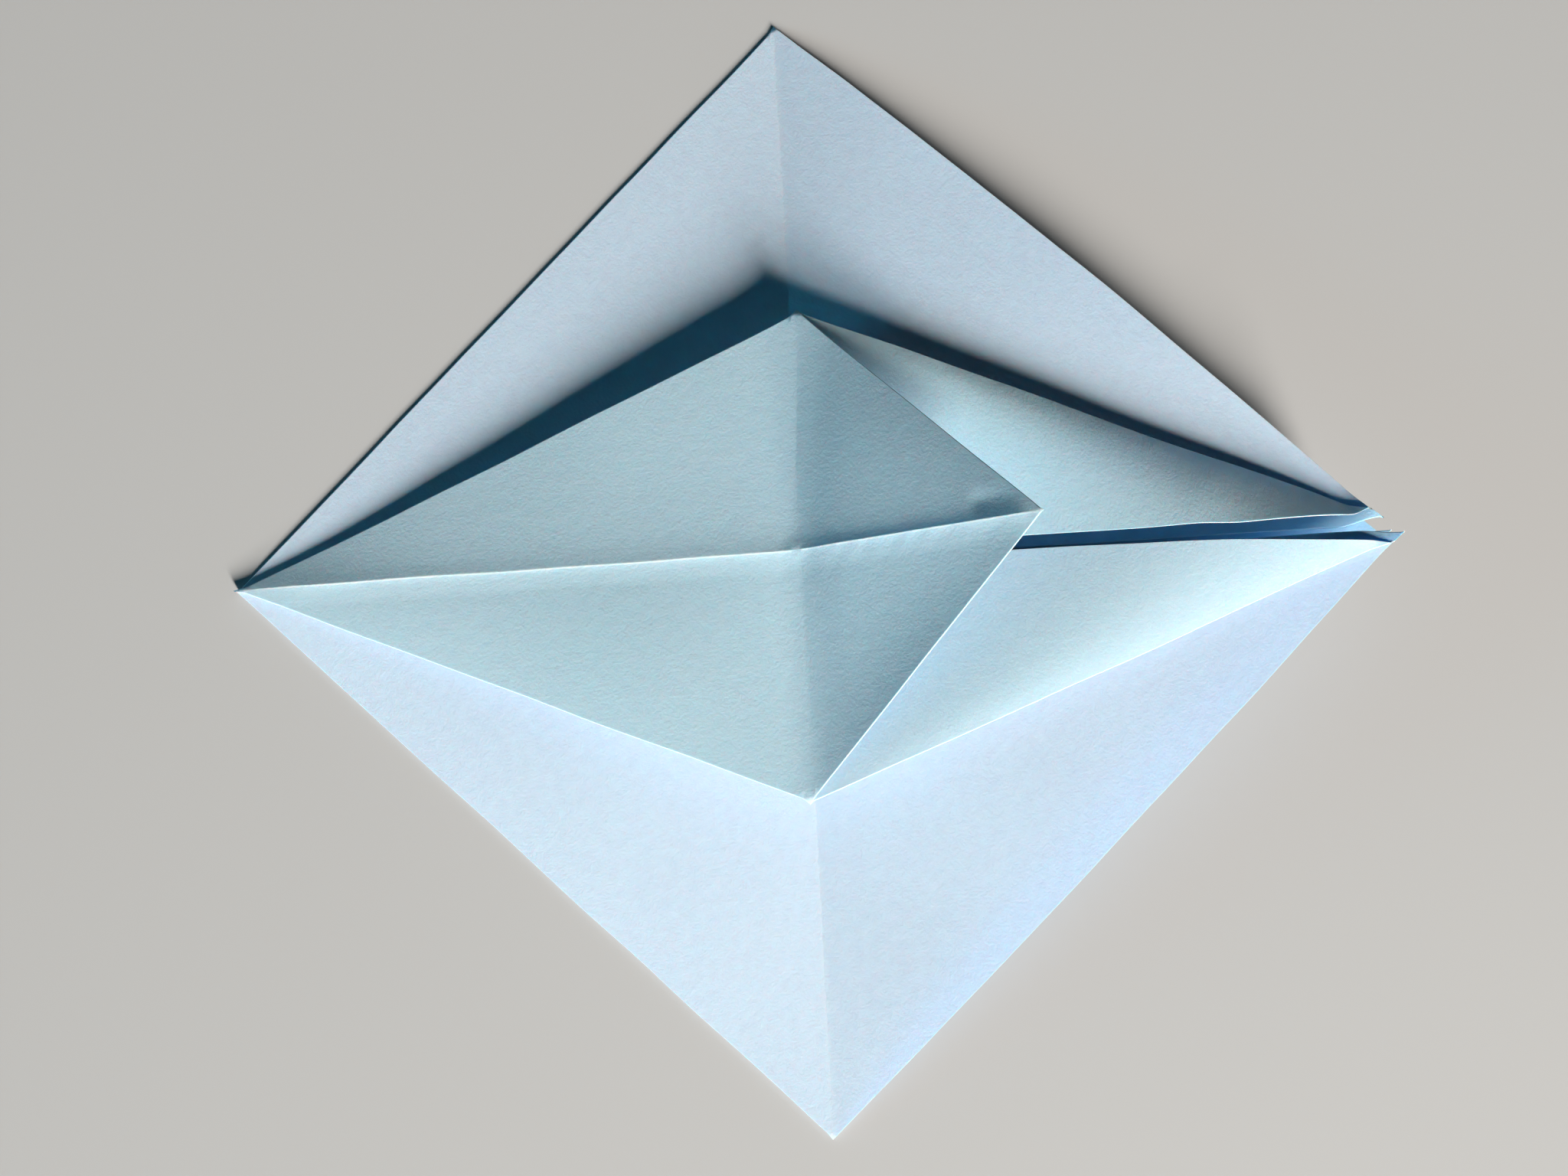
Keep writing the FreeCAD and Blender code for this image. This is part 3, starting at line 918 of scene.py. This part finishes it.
class Nodes:
    """A material's node tree, with short calls to add and join its nodes."""

    def __init__(self, name):
        self.material = bpy.data.materials.new(name)
        self.material.use_nodes = True
        self.tree = self.material.node_tree
        self.shader = self.tree.nodes["Principled BSDF"]

    def put(self, socket, value):
        """Sets an input to a number or a colour, or joins it to another node's output."""
        if isinstance(value, bpy.types.NodeSocket):
            self.tree.links.new(value, socket)
        else:
            socket.default_value = value

    def finish(self, **inputs):
        """Sets the shader's inputs, whose names have _ for a space."""
        for name, value in inputs.items():
            self.put(self.shader.inputs[name.replace("_", " ")], value)

    def add(self, kind, settings=None, **inputs):
        """A node with its settings and its inputs."""
        node = self.tree.nodes.new("ShaderNode" + kind)
        for name, value in (settings or {}).items():
            setattr(node, name, value)
        for name, value in inputs.items():
            self.put(node.inputs[name], value)
        return node

    def number(self, name):
        """The number that the mesh holds under this name."""
        return self.add("Attribute", {"attribute_name": name}).outputs["Fac"]

    def grain(self, where, scale, detail, roughness=0.55):
        """Noise with this many grains to a unit of the place."""
        node = self.add("TexNoise", Vector=where, Scale=scale, Detail=detail,
                        Roughness=roughness)
        return node.outputs["Fac"]

    def combine(self, operation, a, b):
        """The sum or product of two values."""
        node = self.add("Math", {"operation": operation})
        self.put(node.inputs[0], a)
        self.put(node.inputs[1], b)
        return node.outputs[0]

    def ramp(self, value, low, high, to_low=0.0, to_high=1.0):
        """The value, stretched from low-high to other limits, and held between them."""
        node = self.add("MapRange", Value=value)
        for name, number in (("From Min", low), ("From Max", high),
                             ("To Min", to_low), ("To Max", to_high)):
            node.inputs[name].default_value = number
        return node.outputs["Result"]

    def mix(self, factor, a, b):
        """The colour a share of the way from a to b."""
        node = self.add("Mix", {"data_type": "RGBA"}, Factor=factor)
        self.put(node.inputs[6], a)
        self.put(node.inputs[7], b)
        return node.outputs[2]


def pale_blue_paper():
    """Paper with a cloudy dye, fibres and tooth, a painted shade tint on the panels in shade and on
    the inner side, and folds and cut edges whitened, partly as wear and partly as painted
    highlight.
    """
    paper = Nodes("pale_blue_paper")
    uv = paper.add("UVMap", {"uv_map": "pattern"}).outputs["UV"]
    sheet_mm = paper.add("VectorMath", {"operation": "SCALE"}, Vector=uv, Scale=2 * half).outputs[0]
    cloud = paper.grain(sheet_mm, scale=0.05, detail=2)
    fibre = paper.grain(sheet_mm, scale=0.9, detail=4, roughness=0.6)
    tooth = paper.grain(sheet_mm, scale=3.4, detail=5, roughness=0.62)
    patches = paper.ramp(paper.grain(sheet_mm, scale=0.6, detail=5, roughness=0.7), *patch_band)

    # painted shade: the panels in shade get a deeper teal
    shade_tinted = paper.mix(paper.number("painted_shade"), plain_dye, painted_shade_teal)
    cloudy = paper.mix(paper.ramp(cloud, *usual, 0.0, cloud_most), shade_tinted, cloud_dye)
    fibrous = paper.mix(paper.ramp(fibre, *usual, 0.0, fibre_most), cloudy, fibre_dye)
    # white on folds and cut edges: partly wear, partly painted highlight
    patch_whiteness = paper.ramp(patches, 0.0, 1.0, patch_least, patch_most)
    white = paper.combine("MULTIPLY", paper.number("wear_and_highlight"), patch_whiteness)
    outer = paper.mix(white, fibrous, wear_and_highlight_white)
    relief = paper.combine("ADD", tooth, paper.combine("MULTIPLY", fibre, fibre_height))
    bump = paper.add("Bump", Height=relief, Strength=1.0, Distance=tooth_height)
    # the inner side's deeper blue is painted shade
    paper.finish(Base_Color=paper.mix(paper.number("inner"), outer, inner_painted_shade),
                 Roughness=paper.ramp(fibre, *usual, smoothest, roughest),
                 Specular_IOR_Level=gloss,
                 Subsurface_Weight=1.0,
                 Subsurface_Radius=light_spread,
                 Subsurface_Scale=light_reach,
                 Normal=bump.outputs["Normal"])
    return paper.material


piece.data.materials.append(pale_blue_paper())

# ---------------------------------------------------------------- floor, light and camera, m
floor_reach = 3
floor_colour = (0.55, 0.53, 0.51, 1)
floor_roughness = 0.9
world_colour = (0.2, 0.7, 1.0, 1)
world_strength = 0.016
camera_at = Vector((-5.7, -9.7, 107.5)) * MM
looks_at = Vector((-1.87, -2.2, 0)) * MM
camera_roll = math.radians(-3.0)
lens_length = 26            # mm
film_width = 36             # mm
nearest = 0.005


def lay_floor():
    """A plain pale floor."""
    mesh = bpy.data.meshes.new("floor")
    mesh.from_pydata([(x * floor_reach, y * floor_reach, 0)
                      for x, y in ((-1, -1), (1, -1), (1, 1), (-1, 1))], [], [(0, 1, 2, 3)])
    floor = bpy.data.objects.new("floor", mesh)
    bpy.context.scene.collection.objects.link(floor)
    paint = Nodes("floor")
    paint.finish(Base_Color=floor_colour, Roughness=floor_roughness)
    mesh.materials.append(paint.material)


def light_world():
    """The weak light that comes from all round."""
    world = bpy.data.worlds.new("studio")
    bpy.context.scene.world = world
    world.use_nodes = True
    background = world.node_tree.nodes["Background"]
    background.inputs["Color"].default_value = world_colour
    background.inputs["Strength"].default_value = world_strength


def soft_lamp(name, away, high, turn, wide, tall, spread, energy, colour):
    """A gridded panel of light that faces the object; its height, turn and spread in degrees."""
    high, turn = math.radians(high), math.radians(turn)
    towards = Vector((math.cos(high) * math.cos(turn), math.cos(high) * math.sin(turn),
                      math.sin(high)))
    lamp = bpy.data.lights.new(name, "AREA")
    lamp.shape = "RECTANGLE"
    lamp.size = wide
    lamp.size_y = tall
    lamp.spread = math.radians(spread)
    lamp.energy = energy
    lamp.color = colour
    panel = bpy.data.objects.new(name, lamp)
    panel.location = towards * away
    panel.rotation_euler = towards.to_track_quat("Z", "Y").to_euler()
    bpy.context.scene.collection.objects.link(panel)


def aim_camera():
    """The camera, nearly straight above the paper and turned a little."""
    lens = bpy.data.cameras.new("camera")
    lens.lens = lens_length
    lens.sensor_width = film_width
    lens.clip_start = nearest
    camera = bpy.data.objects.new("camera", lens)
    bpy.context.scene.collection.objects.link(camera)
    aim = (looks_at - camera_at).normalized()
    sideways = aim.cross(Vector((0, 1, 0))).normalized()
    upwards = sideways.cross(aim)
    level = Matrix((sideways, upwards, -aim)).transposed()
    camera.location = camera_at
    camera.rotation_euler = (level @ Matrix.Rotation(camera_roll, 3, "Z")).to_euler()
    bpy.context.scene.camera = camera


lay_floor()
light_world()
soft_lamp("key", away=1.4, high=31, turn=-68, wide=0.25, tall=0.62, spread=90, energy=9.1,
          colour=(1.0, 0.985, 0.955))
soft_lamp("fill", away=1.2, high=12, turn=-175, wide=0.50, tall=0.25, spread=40, energy=0.16,
          colour=(0.05, 0.62, 1.0))
aim_camera()
bpy.context.scene.view_settings.view_transform = "Standard"
